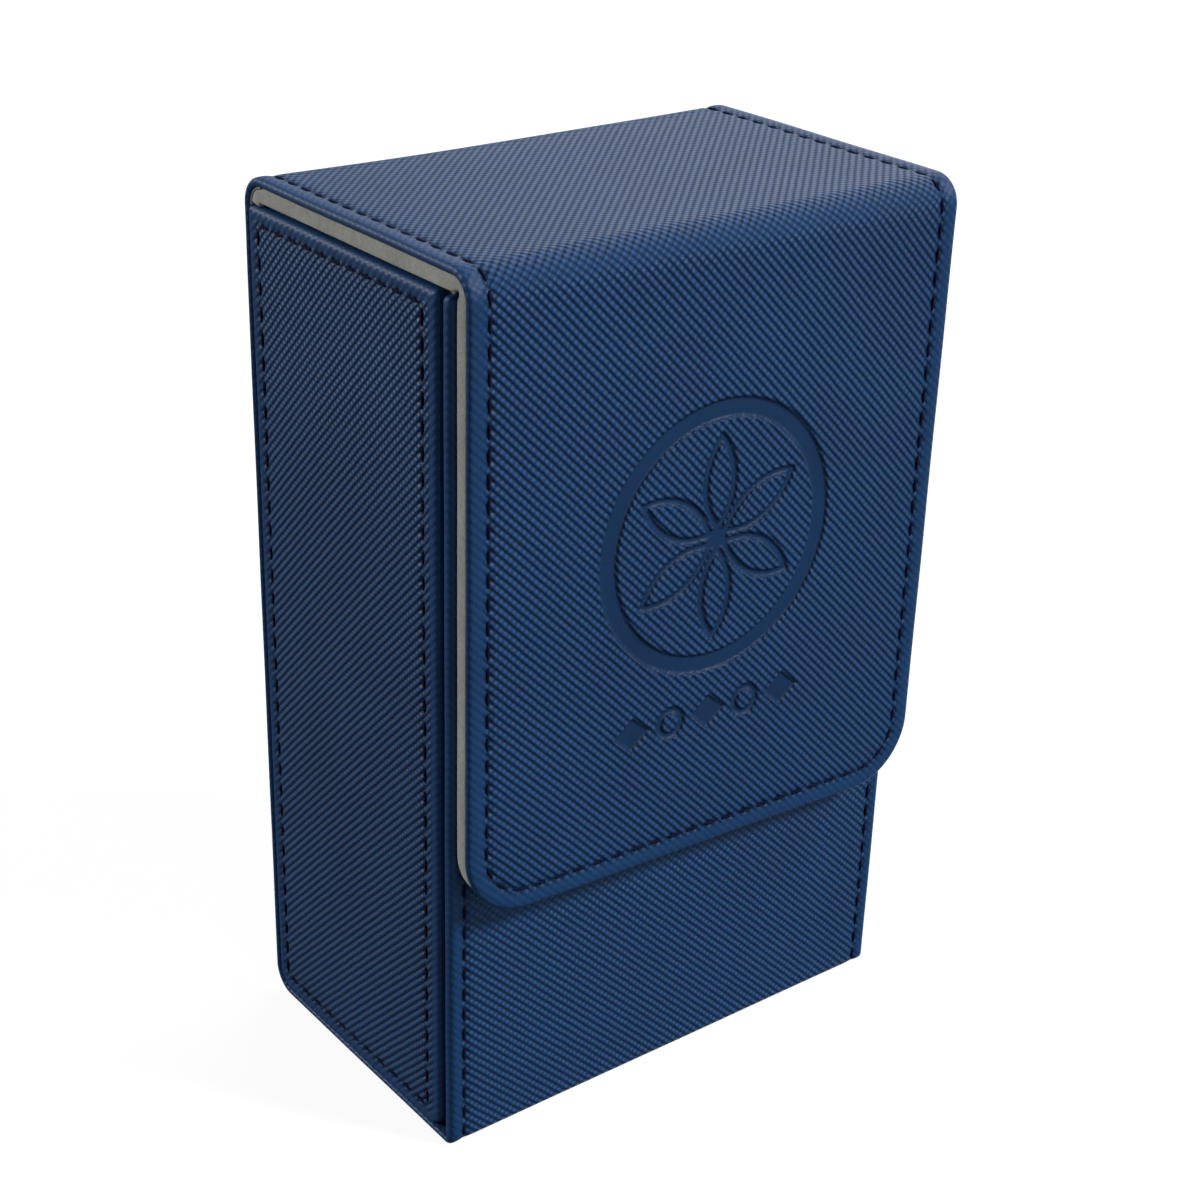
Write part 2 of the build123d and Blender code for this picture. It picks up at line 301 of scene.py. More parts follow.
def flap_relief(x, s, edge):
    """The front of the lid, the fold and the flap with its pressed ornament."""
    side = HALF - np.abs(x)
    beyond = s - (S_END - FLAP_CORNER)
    across = FLAP_CORNER - side
    turn = np.arctan2(np.maximum(beyond, 0), np.maximum(across, 1e-6))
    along = np.where(beyond < 0, s - S_CUT, FLAP_SIDE + FLAP_RADIUS * turn)
    foot = FLAP_SIDE + FLAP_ARC + side - FLAP_CORNER
    along = np.where((beyond >= 0) & (across < 0), foot, along)
    seam, painted_shade = sewn(edge - LID_SEAM, along, FLAP_PITCH)
    puff, plain = border(edge, LID_SEAM)
    z = RIM - (s - S_FLAP)
    away = ornament(x, z) + 9 * (s < S_FLAP)
    pressed = 1 - smooth(away, -0.22, 0.14)
    lip = 0.04 * np.exp(-((away - 0.35) / 0.3) ** 2)
    height = REST_LEVEL + seam + puff + waves(x, s) + lip - PRESS_DEPTH * pressed
    # Painted shade: a dark line round the edges of the pressed shapes, and their insides a little
    # darker.
    outline = 0.75 * np.exp(-((away + 0.02) / 0.2) ** 2)
    return height, np.maximum(plain, pressed), np.maximum(painted_shade, np.maximum(outline, 0.3 * pressed))


PANEL_Y = (panel_low[1] + PANEL_SEAM_FRONT, panel_high[1] - PANEL_SEAM)
PANEL_Z = (panel_low[2] + PANEL_SEAM, panel_high[2] - PANEL_SEAM)
# each side of the rectangle: (from, to, the place across it, upright or not)
PANEL_SEAMS = [(*PANEL_Z, y, True) for y in PANEL_Y] + [(*PANEL_Y, z, False) for z in PANEL_Z]


def panel_relief(y, z, edge):
    """A side panel: a rectangle of seam inside its rolled edges."""
    height, painted_shade = 0 * y, 0 * y
    for low, high, across, upright in PANEL_SEAMS:
        run, off = (z, y - across) if upright else (y, z - across)
        pitch = (high - low) / round((high - low) / PANEL_PITCH)
        past = np.maximum(np.maximum(low - run, run - high), 0)
        seam, dark = sewn(np.hypot(off, past), run - low, pitch)
        height = np.minimum(height, seam)
        painted_shade = np.maximum(painted_shade, dark)
    puff, plain = border(edge, PANEL_SEAM)
    return REST_LEVEL + height + 0.6 * puff + waves(z, y), plain, painted_shade


def felt_relief(x, s, edge):
    """The padded inside of the lid and flap, with its pressed crease at the fold."""
    crease = np.exp(-((s - (S_FOLD + S_FLAP) / 2) / CREASE_WIDTH) ** 2)
    height = -CREASE_DEPTH * crease - 0.12 * (1 - smooth(edge, 0, 4)) + 0.5 * waves(x, s)
    # The crease also gets a painted-shade value, which the felt's material does not read.
    return height, 0 * x, 0.5 * crease


def plain_relief(x, s, edge):
    """A flat face."""
    return 0 * x, 0 * x, 0 * x


def even(value):
    """The same value all along a strip."""
    return lambda s: value + 0 * s


# ---------------------------------------------------------------- meshes

ROUNDED_STEPS = [0, 0.02, 0.07, 0.15, 0.27, 0.45, 0.7, 1.1, 1.4]
EDGE_STEPS = np.concatenate([ROUNDED_STEPS, np.arange(1.7, 5, 0.3)])
BEHIND = (30, 60, 90)                 # degrees of the turn behind an edge


def run(low, high, step):
    """Even stations from low to high, without the last."""
    count = max(1, round((high - low) / step))
    return np.linspace(low, high, count, endpoint=False)


def stations(low, high, closed_low, closed_high, *parts):
    """Grid lines: close together at a closed edge, then the given (end, step) parts."""
    found = [low + EDGE_STEPS] if closed_low else [np.array([low])]
    start = low + EDGE_STEPS[-1] + 0.3 if closed_low else low
    stop = high - EDGE_STEPS[-1] - 0.3 if closed_high else high
    for end, step in parts:
        end = min(end, stop)
        if end > start:
            found.append(run(start, end, step))
            start = end
    found.append(high - EDGE_STEPS[::-1] if closed_high else np.array([high]))
    return np.unique(np.round(np.concatenate(found), 6))


def round_corner(near, far, radius):
    """Bends grid lines round a corner: near and far are the distances from its two edges."""
    rim = np.minimum(near, far)
    beyond = np.maximum(near, far) - rim
    reach = radius - rim
    inside = (reach > 1e-9) & (beyond < reach)
    share = np.where(inside, beyond / np.where(inside, reach, 1), 0)
    turn = math.pi / 4 * (1 - share)
    first, second = radius - reach * np.cos(turn), radius - reach * np.sin(turn)
    nearer = near <= far
    new_near = np.where(inside, np.where(nearer, first, second), near)
    new_far = np.where(inside, np.where(nearer, second, first), far)
    return new_near, new_far


def new_mesh(name, points, faces, uv, traits):
    """An object from points in millimetres, with a UV map and values at its points."""
    mesh = bpy.data.meshes.new(name)
    mesh.from_pydata((points * MM).tolist(), [], faces)
    mesh.polygons.foreach_set("use_smooth", np.ones(len(mesh.polygons), bool))
    used = np.zeros(len(mesh.loops), np.int32)
    mesh.loops.foreach_get("vertex_index", used)
    layer = mesh.uv_layers.new(name="grain")
    layer.uv.foreach_set("vector", (uv[used] * MM).astype(np.float32).ravel())
    for key, values in traits.items():
        trait = mesh.attributes.new(key, "FLOAT", "POINT")
        trait.data.foreach_set("value", values.astype(np.float32))
    mesh.update()
    piece = bpy.data.objects.new(name, mesh)
    bpy.context.scene.collection.objects.link(piece)
    return piece


def rounded_grid(columns, rows, corners, open_start, open_end):
    """A flat grid with rounded corners: the places x and s of its points, their distance to the
    closed edges, and the way inwards at its outline."""
    x0, x1, s0, s1 = columns[0], columns[-1], rows[0], rows[-1]
    flat_x, flat_s = np.meshgrid(columns, rows)
    left, right, start, end = flat_x - x0, x1 - flat_x, flat_s - s0, s1 - flat_s
    edge = np.minimum(left, right)
    if not open_start:
        edge = np.minimum(edge, start)
    if not open_end:
        edge = np.minimum(edge, end)
    x, s = flat_x.copy(), flat_s.copy()
    inward = np.zeros(x.shape + (2,))
    inward[:, 0, 0], inward[:, -1, 0] = 1, -1
    if not open_start:
        inward[0, :] = (0, 1)
    if not open_end:
        inward[-1, :] = (0, -1)
    for at_end, radii in enumerate(corners):
        if open_end if at_end else open_start:
            continue
        far = end if at_end else start
        for at_right, radius in enumerate(radii):
            near = right if at_right else left
            zone = (near < radius) & (far < radius)
            new_near, new_far = round_corner(near[zone], far[zone], radius)
            x[zone] = x1 - new_near if at_right else x0 + new_near
            s[zone] = s1 - new_far if at_end else s0 + new_far
            middle = np.array([x1 - radius if at_right else x0 + radius,
                               s1 - radius if at_end else s0 + radius])
            towards = middle - np.stack([x[zone], s[zone]], -1)
            inward[zone] = towards / np.maximum(np.hypot(*towards.T), 1e-9)[:, None]
    return x, s, edge, inward


def outline(number, open_start, open_end):
    """Chains of grid points round a face's closed edges, walked with the face on their left."""
    left = number[::-1, 0] if open_start else number[:0:-1, 0]
    first_row = number[0, :0] if open_start else number[0, :-1]
    if open_end:
        return [np.concatenate([first_row, number[:, -1]]), left]
    return [np.concatenate([first_row, number[:-1, -1], number[-1, :0:-1], left])]


def turned_behind(roll, thick):
    """The steps (inset, depth) from a rolled edge round to the flat back."""
    steps = [(0 * roll, thick - roll)]
    for degrees in BEHIND:
        angle = math.radians(degrees)
        steps.append((roll * (1 - math.cos(angle)), thick - roll + roll * math.sin(angle)))
    steps.append((roll + TURN_IN, thick))
    return steps


def shell(name, columns, rows, place, relief, thickness, roll, corners,
          open_start=False, open_end=False, lay=even(0)):
    """A turned-edge panel: a fine outer face, rolled edges and a plain closed back.

    columns and rows are grid lines across and along. place(x, s, out) puts a flat place in
    space. corners are (left, right) radii at the start and at the end. lay(s) says which of the
    grain's two families of ridges stands out more, in the bump and in the painted shade."""
    x, s, edge, inward = rounded_grid(columns, rows, corners, open_start, open_end)
    height, plain, painted_shade = relief(x, s, edge)
    thick = np.broadcast_to(thickness(s), s.shape)
    bend = np.minimum(np.broadcast_to(roll(s), s.shape), thick / 2 - 0.02)
    lack = np.clip(bend - edge, 0, None)
    out = height - (bend - np.sqrt(np.maximum(bend ** 2 - lack ** 2, 0)))
    high, wide = x.shape
    number = np.arange(high * wide).reshape(high, wide)
    points = [place(x, s, out).reshape(-1, 3)]
    flats = [np.stack([x, s], -1).reshape(-1, 2)]
    plains, painted_shades = [plain.ravel()], [painted_shade.ravel()]
    quads = [np.stack([number[:-1, :-1], number[:-1, 1:], number[1:, 1:], number[1:, :-1]],
                      -1).reshape(-1, 4)]
    loops = outline(number, open_start, open_end)
    closed = not open_start and not open_end
    total = high * wide
    last_of = {}
    for chain in loops:
        base_x, base_s = x.ravel()[chain], s.ravel()[chain]
        level = height.ravel()[chain]
        far_in = inward.reshape(-1, 2)[chain]
        r, t = bend.ravel()[chain], thick.ravel()[chain]
        before = chain
        travelled, previous = 0 * r, (0 * r, r)
        for inset, depth in turned_behind(r, t):
            travelled = travelled + np.hypot(inset - previous[0], depth - previous[1])
            previous = (inset, depth)
            rim_x = base_x + far_in[:, 0] * inset
            rim_s = base_s + far_in[:, 1] * inset
            now = total + np.arange(len(chain))
            total += len(chain)
            points.append(place(rim_x, rim_s, level - depth))
            flats.append(np.stack([base_x - far_in[:, 0] * travelled,
                                   base_s - far_in[:, 1] * travelled], -1))
            plains.append(plain.ravel()[chain])
            painted_shades.append(0 * r)
            quad = np.stack([np.roll(before, -1), before, now, np.roll(now, -1)], -1)
            quads.append(quad if closed else quad[:-1])
            before = now
        last_of.update(zip(chain.tolist(), before.tolist()))
    faces = np.concatenate(quads).tolist()
    lefts = [last_of[n] for n in number[:, 0].tolist()]
    rights = [last_of[n] for n in number[:, -1].tolist()]
    faces += [[lefts[j], lefts[j + 1], rights[j + 1], rights[j]] for j in range(high - 1)]
    if not open_start:
        faces.append([last_of[n] for n in number[0, ::-1].tolist()])
    if not open_end:
        faces.append([last_of[n] for n in number[-1].tolist()])
    points = np.concatenate(points)
    j, i = high // 2, wide // 2
    a, b, c = points[number[j, i]], points[number[j, i + 1]], points[number[j + 1, i]]
    lifted = place(x[j, i], s[j, i], out[j, i] + 1.0).reshape(3)
    if np.dot(np.cross(b - a, c - a), lifted - a) < 0:
        faces = [face[::-1] for face in faces]
    flats = np.concatenate(flats)
    traits = {"plain": np.concatenate(plains), "painted_shade": np.concatenate(painted_shades),
              "lay": lay(flats[:, 1])}
    return new_mesh(name, points, faces, flats, traits)


def threads(name, seams):
    """Short sunken threads: each seam is (place, line of the seam, its stitches' middles)."""
    sides, samples = 8, 9
    share = np.linspace(-1, 1, samples)
    points, uv, faces = [], [], []
    total = 0
    for place, seam_at, middles in seams:
        along = middles[:, None] + share * STITCH_LENGTH / 2
        x, s = seam_at(along)
        out = THREAD_LEVEL - THREAD_DIP * share ** 4 + 0 * x
        centre = place(x, s, out)
        up = place(x, s, out + 1) - centre
        ahead = np.gradient(centre, axis=1)
        across = np.cross(ahead, up)
        across /= np.linalg.norm(across, axis=-1, keepdims=True)
        up /= np.linalg.norm(up, axis=-1, keepdims=True)
        radius = THREAD_RADIUS * np.sqrt(1 - (0.85 * share) ** 4)[:, None, None]
        angle = np.linspace(0, 2 * math.pi, sides, endpoint=False)[:, None]
        ring = centre[:, :, None] + radius * (np.cos(angle) * across[:, :, None]
                                              + np.sin(angle) * up[:, :, None])
        points.append(ring.reshape(-1, 3))
        flat = np.zeros(ring.shape[:3] + (2,))
        flat[..., 0] = angle[:, 0] / (2 * math.pi)
        flat[..., 1] = along[:, :, None]
        uv.append(flat.reshape(-1, 2))
        number = total + np.arange(ring.size // 3).reshape(ring.shape[:3])
        total += ring.size // 3
        turned = np.roll(number, -1, axis=2)
        quad = np.stack([number[:, :-1], number[:, 1:], turned[:, 1:], turned[:, :-1]], -1)
        faces += quad.reshape(-1, 4).tolist()
        faces += number[:, 0, :].tolist()
        faces += number[:, -1, ::-1].tolist()
    return new_mesh(name, np.concatenate(points), faces, np.concatenate(uv), {})


# ---------------------------------------------------------------- materials

class Nodes:
    """A material's node graph, written as sums."""

    def __init__(self, name):
        self.material = bpy.data.materials.new(name)
        self.material.use_nodes = True
        self.tree = self.material.node_tree
        self.shader = self.tree.nodes["Principled BSDF"]

    def feed(self, socket, value):
        if isinstance(value, bpy.types.NodeSocket):
            self.tree.links.new(value, socket)
        else:
            socket.default_value = value

    def math(self, operation, first, second=0.0, third=0.0):
        node = self.tree.nodes.new("ShaderNodeMath")
        node.operation = operation
        for socket, value in zip(node.inputs, (first, second, third)):
            self.feed(socket, value)
        return node.outputs[0]

    def add(self, first, second):
        return self.math("ADD", first, second)

    def times(self, first, second):
        return self.math("MULTIPLY", first, second)

    def step(self, value, low, high, to_low=0.0, to_high=1.0):
        node = self.tree.nodes.new("ShaderNodeMapRange")
        for socket, number in zip(node.inputs, (value, low, high, to_low, to_high)):
            self.feed(socket, number)
        return node.outputs[0]

    def trait(self, name):
        node = self.tree.nodes.new("ShaderNodeAttribute")
        node.attribute_name = name
        return node.outputs["Fac"]

    def flat(self):
        """The flat place of the surface, from the grain map, in millimetres."""
        node = self.tree.nodes.new("ShaderNodeUVMap")
        node.uv_map = "grain"
        split = self.tree.nodes.new("ShaderNodeSeparateXYZ")
        self.feed(split.inputs[0], node.outputs[0])
        return self.times(split.outputs[0], 1 / MM), self.times(split.outputs[1], 1 / MM)

    def solid_place(self):
        node = self.tree.nodes.new("ShaderNodeTexCoord")
        return node.outputs["Object"]

    def stretched(self, vector, scale):
        node = self.tree.nodes.new("ShaderNodeMapping")
        self.feed(node.inputs["Vector"], vector)
        node.inputs["Scale"].default_value = scale
        return node.outputs[0]

    def noise(self, vector, size, detail=2.0, roughness=0.5):
        """Noise whose lumps are about size millimetres across."""
        node = self.tree.nodes.new("ShaderNodeTexNoise")
        self.feed(node.inputs["Vector"], vector)
        node.inputs["Scale"].default_value = 1 / (size * MM)
        node.inputs["Detail"].default_value = detail
        node.inputs["Roughness"].default_value = roughness
        return node.outputs[0]

    def blend_colour(self, share, first, second):
        node = self.tree.nodes.new("ShaderNodeMix")
        node.data_type = "RGBA"
        self.feed(node.inputs["Factor"], share)
        self.feed(node.inputs["A"], first)
        self.feed(node.inputs["B"], second)
        return node.outputs["Result"]

    def bump(self, height, distance):
        """Relief of height times distance millimetres."""
        node = self.tree.nodes.new("ShaderNodeBump")
        node.inputs["Distance"].default_value = distance * MM
        node.inputs["Strength"].default_value = 1.0
        self.feed(node.inputs["Height"], height)
        self.feed(self.shader.inputs["Normal"], node.outputs[0])

    def put(self, **sockets):
        for name, value in sockets.items():
            self.feed(self.shader.inputs[name.replace("_", " ")], value)


def shade(colour, amount):
    return tuple(channel * amount for channel in colour) + (1.0,)


NAVY = (0.0045, 0.0450, 0.1450)


def leather_material(name, colour):
    """Cross-grain leather: two families of fine ridges at 45 degrees."""
    n = Nodes(name)
    x, s = n.flat()
    where = n.solid_place()
    wobble = n.times(n.add(n.noise(where, 3.0), -0.5), 1.1)
    turn = 2 * math.pi / (WEAVE_PITCH * math.sqrt(2))
    first = n.add(n.times(n.add(x, s), turn), wobble)
    second = n.add(n.times(n.math("SUBTRACT", x, s), turn), wobble)
    ridge_a = n.math("POWER", n.add(n.times(n.math("SINE", first), 0.5), 0.5), 0.8)
    ridge_b = n.math("POWER", n.add(n.times(n.math("SINE", second), 0.5), 0.5), 0.8)
    lay = n.trait("lay")
    share_a = n.step(lay, -1.0, 0.0, 0.3, 1.0)
    share_b = n.step(lay, 0.0, 1.0, 1.0, 0.3)
    both = n.add(n.times(ridge_a, share_a), n.times(ridge_b, share_b))
    grain = n.math("DIVIDE", both, n.add(share_a, share_b))
    woven = n.math("SUBTRACT", 1.0, n.trait("plain"))
    fine = n.noise(where, 0.25, 3.0, 0.6)
    crossed = n.math("SUBTRACT", 1.0, n.math("ABSOLUTE", lay))
    beads = n.times(n.times(ridge_a, ridge_b), n.times(crossed, woven))
    height = n.add(n.times(grain, woven), n.add(n.times(beads, 0.2), n.times(fine, 0.16)))
    cloudy = n.noise(where, 18.0, 2.0)
    # Painted shade in the grain: the colour is darker down in the valleys between the ridges and
    # lighter on their crests; the plain border and pressed shapes take a middle tone.
    shown = n.add(n.times(grain, woven), n.times(n.trait("plain"), 0.6))
    light = n.add(n.step(shown, 0.0, 1.0, 0.0, 0.75), n.times(n.add(cloudy, -0.5), 0.35))
    # Painted shade darkens the colour in the seam channels, at the stitch holes and round and
    # inside the pressed shapes.
    light = n.add(light, n.times(n.trait("painted_shade"), -0.8))
    light = n.add(light, n.times(n.add(fine, -0.5), 0.5))
    # Painted highlight: the crossed beads are lighter.
    light = n.add(light, n.times(n.add(beads, -0.25), 0.35))
    n.put(Base_Color=n.blend_colour(light, shade(colour, 0.46), shade(colour, 1.42)))
    n.put(Roughness=n.step(n.add(grain, fine), 0.3, 1.5, 0.58, 0.47))
    n.shader.inputs["Specular IOR Level"].default_value = 0.25
    n.bump(height, 0.33)
    return n.material


def felt_material(name, colour):
    """Grey microsuede: a short dense nap with brushed patches."""
    n = Nodes(name)
    where = n.solid_place()
    nap = n.noise(where, 0.35, 4.0, 0.7)
    brushed = n.noise(n.stretched(where, (1.0, 1.0, 0.4)), 2.5, 3.0, 0.6)
    light = n.add(n.times(nap, 0.8), n.times(brushed, 0.5))
    n.put(Base_Color=n.blend_colour(n.step(light, 0.35, 0.95), shade(colour, 0.6),
                                    shade(colour, 1.35)))
    n.put(Roughness=n.step(nap, 0.3, 0.7, 0.85, 1.0))
    n.shader.inputs["Specular IOR Level"].default_value = 0.15
    n.shader.inputs["Sheen Weight"].default_value = 0.35
    n.shader.inputs["Sheen Roughness"].default_value = 0.5
    n.bump(n.add(nap, n.times(brushed, 0.4)), 0.16)
    return n.material


def thread_material():
    """Near-black navy thread, twisted from plies."""
    n = Nodes("navy_thread")
    around, along = n.flat()
    turns = n.add(n.times(around, 2), n.times(along, 1.4))
    ply = n.add(n.times(n.math("SINE", n.times(turns, 2 * math.pi)), 0.5), 0.5)
    fuzz = n.noise(n.solid_place(), 0.12, 3.0)
    n.put(Base_Color=n.blend_colour(n.add(n.times(ply, 0.6), n.times(fuzz, 0.4)),
                                    (0.0010, 0.0020, 0.0120, 1), (0.004, 0.008, 0.040, 1)))
    n.put(Roughness=n.step(fuzz, 0.3, 0.7, 0.75, 0.95))
    n.shader.inputs["Specular IOR Level"].default_value = 0.1
    n.bump(n.add(ply, n.times(fuzz, 0.4)), 0.1)
    return n.material


def board_material():
    """Grey card with pressed fibres."""
    n = Nodes("greyboard")
    where = n.solid_place()
    fibre = n.noise(n.stretched(where, (1.0, 1.0, 0.15)), 0.5, 5.0, 0.65)
    fleck = n.noise(where, 1.4, 2.0)
    n.put(Base_Color=n.blend_colour(n.add(n.times(fibre, 0.7), n.times(fleck, 0.3)),
                                    (0.12, 0.11, 0.10, 1), (0.34, 0.32, 0.29, 1)))
    n.put(Roughness=n.step(fibre, 0.3, 0.7, 0.8, 0.95))
    n.bump(fibre, 0.05)
    return n.material


def metal_material(name, colour, low, high, scratch):
    """Turned or ground metal with fine lines."""
    n = Nodes(name)
    lines = n.noise(n.stretched(n.solid_place(), scratch), 0.4, 4.0, 0.6)
    n.put(Base_Color=n.blend_colour(lines, shade(colour, 0.8), shade(colour, 1.05)))
    n.put(Roughness=n.step(lines, 0.3, 0.7, low, high))
    n.shader.inputs["Metallic"].default_value = 1.0
    n.bump(lines, 0.01)
    return n.material


LEATHER = leather_material("navy_leather", NAVY)
# The welts in the grooves beside the side panels use the leather at 0.3 of its colour: painted
# shade that deepens the dark line of each groove.
WELT_PAINTED_SHADE = leather_material("welt_painted_shade_leather", tuple(0.3 * channel for channel in NAVY))
FELT = felt_material("grey_microsuede", (0.285, 0.288, 0.256))
THREAD = thread_material()
BOARD = board_material()
MAGNET = metal_material("nickel_magnet", (0.62, 0.61, 0.58), 0.15, 0.3, (1, 1, 1))
STEEL = metal_material("ground_steel", (0.48, 0.48, 0.49), 0.3, 0.5, (0.1, 1, 1))


def paint(piece, material):
    piece.data.materials.clear()
    piece.data.materials.append(material)


# ---------------------------------------------------------------- the pieces

def wrap_thickness(s):
    """The front wall is leather on board all through; the rest is the strip alone."""
    return WRAP_THICKNESS + (FRONT_WALL - WRAP_THICKNESS) * (1 - smooth(s, S_FRONT_END, S_BOTTOM))


def wrap_roll(s):
    return WRAP_ROLL + (WALL_ROLL - WRAP_ROLL) * (1 - smooth(s, S_FRONT_END, S_BOTTOM))


def lid_thickness(s):
    """The strip gets thicker where it becomes the lid."""
    return WRAP_THICKNESS + (LEATHER_LID - WRAP_THICKNESS) * smooth(s, S_HINGE - 12, S_HINGE)


def lid_roll(s):
    return WRAP_ROLL + (LID_ROLL - WRAP_ROLL) * smooth(s, S_HINGE - 12, S_HINGE)


PLAIN_COLUMNS = stations(-HALF, HALF, True, True, (HALF, 2.0))
ZONE = RING_OUTER + 1.2
FINE_COLUMNS = stations(-HALF, HALF, True, True, (-ZONE, 1.4), (ZONE, 0.3), (HALF, 1.4))
SQUARE = ((SMALL_CORNER, SMALL_CORNER), (0, 0))


def grain_lay(s):
    """The grain's two families of ridges: one stands out on the lid, the other on the front."""
    lid = smooth(s, S_LID, S_LID + 3) * (1 - smooth(s, S_FOLD - 1, S_FOLD + 3.5))
    flap = smooth(s, S_FOLD + 3.5, S_FLAP + 3)
    wall = 1 - smooth(s, S_FRONT_END - 3, S_FRONT_END)
    foot = RIM - FLAP_BOTTOM
    # The band of front wall in the flap's cast shadow, where the other family of ridges stands out:
    # painted into the grain's bump and its painted shade.
    flap_shadow_band = smooth(s, foot - 4, foot - 2) * (1 - smooth(s, foot + 4, foot + 9))
    return 0.9 * lid - 0.7 * flap - (0.4 - 0.75 * flap_shadow_band) * wall


def leather_box():
    """The strip that makes the front wall, the bottom and the lower back."""
    rows = stations(S_FRONT, S_SPLIT, True, False, (S_FRONT_END, 0.6), (S_BOTTOM, 0.35),
                    (S_BOTTOM_END, 0.6), (S_BACK, 0.5), (S_SPLIT, 0.6))
    piece = shell("box_wrap_leather", PLAIN_COLUMNS, rows, line.place, wrap_relief,
                  wrap_thickness, wrap_roll, SQUARE, open_end=True, lay=grain_lay)
    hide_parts("outer_wrap")
    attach(piece, "box")
    return piece


def leather_hinge():
    """The upper back, the hinge and the rear of the lid."""
    rows = stations(S_SPLIT, S_CUT, False, False, (S_HINGE, 0.6), (S_LID, 0.4), (S_CUT, 0.6))
    piece = shell("hinge_strip_leather", FINE_COLUMNS, rows, line.place, wrap_relief,
                  lid_thickness, lid_roll, ((0, 0), (0, 0)), open_start=True, open_end=True,
                  lay=grain_lay)
    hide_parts("hinge_leather", "lid_cover")
    return piece


def leather_flap():
    """The front of the lid, the fold and the flap."""
    zone_start = S_FLAP + RIM - RING_HEIGHT - ZONE
    zone_end = S_FLAP + RIM - ROW_HEIGHT + LOZENGE[1] + 0.8
    rows = stations(S_CUT, S_END, False, True, (S_FOLD, 0.6), (S_FLAP, 0.4), (zone_start, 0.6),
                    (zone_end, 0.3), (S_END, 0.6))
    piece = shell("flap_leather", FINE_COLUMNS, rows, hung, flap_relief,
                  even(LEATHER_LID), even(LID_ROLL), ((0, 0), (FLAP_CORNER, FLAP_CORNER)),
                  open_start=True, lay=grain_lay)
    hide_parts("lid_cover", "fold_leather", "flap_cover")
    return piece


def leather_panel(side):
    """One side panel's leather, rolled over its board."""
    columns = stations(panel_low[1], panel_high[1], True, True, (panel_high[1], 0.65))
    rows = stations(panel_low[2], panel_high[2], True, True, (panel_high[2], 0.65))

    def place(y, z, out):
        y, z, out = np.broadcast_arrays(y, z, out)
        x = HALF + out
        return np.stack([-x if side == "left" else x, y, z], -1)

    piece = shell(f"{side}_panel_leather", columns, rows, place, panel_relief,
                  even(PANEL_THICKNESS), even(PANEL_ROLL),
                  ((PANEL_CORNER, PANEL_CORNER), (SMALL_CORNER, SMALL_CORNER)),
                  lay=lambda z: 0.6 + 0.4 * smooth(panel_high[2] - z, 5, 50))
    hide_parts(f"{side}_side_cover")
    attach(piece, "box")
    seams = []
    for low, high, across, upright in PANEL_SEAMS:
        count = round((high - low) / PANEL_PITCH)
        middles = (np.arange(count) + 0.5) * (high - low) / count

        def seam_at(along, low=low, across=across, upright=upright):
            run_at, fixed = low + along, across + 0 * along
            return (fixed, run_at) if upright else (run_at, fixed)

        seams.append((place, seam_at, middles))
    sewing = threads(f"{side}_panel_stitches", seams)
    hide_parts(f"{side}_side_seam")
    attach(sewing, "box")
    return piece, sewing


def flap_card():
    """The card between the flap's leather and its pad, hung as they are."""
    inset = FLAP_BOTTOM - board_low[2]
    columns = stations(board_low[0], board_high[0], True, True, (board_high[0], 4.0))
    rows = stations(S_FLAP + RIM - board_high[2], S_END + inset, False, True, (S_END, 4.0))
    thick = board_high[1] - board_low[1] - 0.04
    depth = board_low[1] - Y_FLAP + 0.02

    def place(x, s, out):
        return hung(x, s, out - depth)

    corner = FLAP_CORNER + inset
    piece = shell("flap_card", columns, rows, place, plain_relief, even(thick), even(SHARP_ROLL),
                  ((0, 0), (corner, corner)), open_start=True)
    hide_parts("flap_board")
    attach(piece, "flap")
    return piece


def felt_inside():
    """The padded microsuede inside the lid and the flap, in one bending piece."""
    depth = LEATHER_LID + PAD
    start = S_HINGE + 0.4
    end = S_END - (flap_pad_low[2] - FLAP_BOTTOM)
    lining = hinge_lining_high[1] - lid_pad_high[1] + 0.05
    columns = stations(-PAD_HALF, PAD_HALF, True, True, (PAD_HALF, 2.5))
    rows = stations(start, end, True, True, (S_LID + 1, 0.35), (S_FOLD - 1, 1.2),
                    (S_FLAP + 1, 0.35), (end, 1.2))

    def place(x, s, out):
        return hung(x, s, -depth - out)

    corner = FLAP_CORNER - (HALF - PAD_HALF)
    piece = shell("lid_and_flap_pad", columns, rows, place, felt_relief,
                  lambda s: PAD - 0.02 - lining * (1 - smooth(s, S_LID, S_LID + 0.7)),
                  even(PAD_ROLL), ((SMALL_CORNER, SMALL_CORNER), (corner, corner)))
    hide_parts("lid_pad", "fold_pad", "flap_pad")
    return piece


def felt_hinge():
    """The thin lining behind the hinge leather."""
    inner = Y_BACK - hinge_lining_high[1]
    columns = stations(-PAD_HALF, PAD_HALF, True, True, (PAD_HALF, 2.5))
    rows = stations(S_HINGE, S_LID, False, False, (S_LID, 0.3))

    def place(x, s, out):
        return line.place(x, s, -inner - HINGE_FELT - out)

    piece = shell("hinge_lining_felt", columns, rows, place, plain_relief,
                  even(HINGE_FELT - 0.02), even(SHARP_ROLL), ((0, 0), (0, 0)),
                  open_start=True, open_end=True)
    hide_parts("hinge_lining")
    return piece


def wrap_stitches():
    """The seams along both long edges of the strip, cut where the hinge begins to bend."""
    count = int((S_CUT - S_FRONT - 1.5) / STITCH_PITCH)
    middles = (np.arange(count) + 0.5) * STITCH_PITCH
    made = []
    for name, keep in (("wrap_stitches", middles > S_CUT - S_SPLIT),
                       ("hinge_stitches", middles < S_CUT - S_SPLIT)):
        seams = []
        for side in (-1, 1):
            def seam_at(along, side=side):
                s = S_CUT - along
                return side * (HALF - seam_inset(s)), s

            seams.append((line.place, seam_at, middles[keep]))
        made.append(threads(name, seams))
    return made


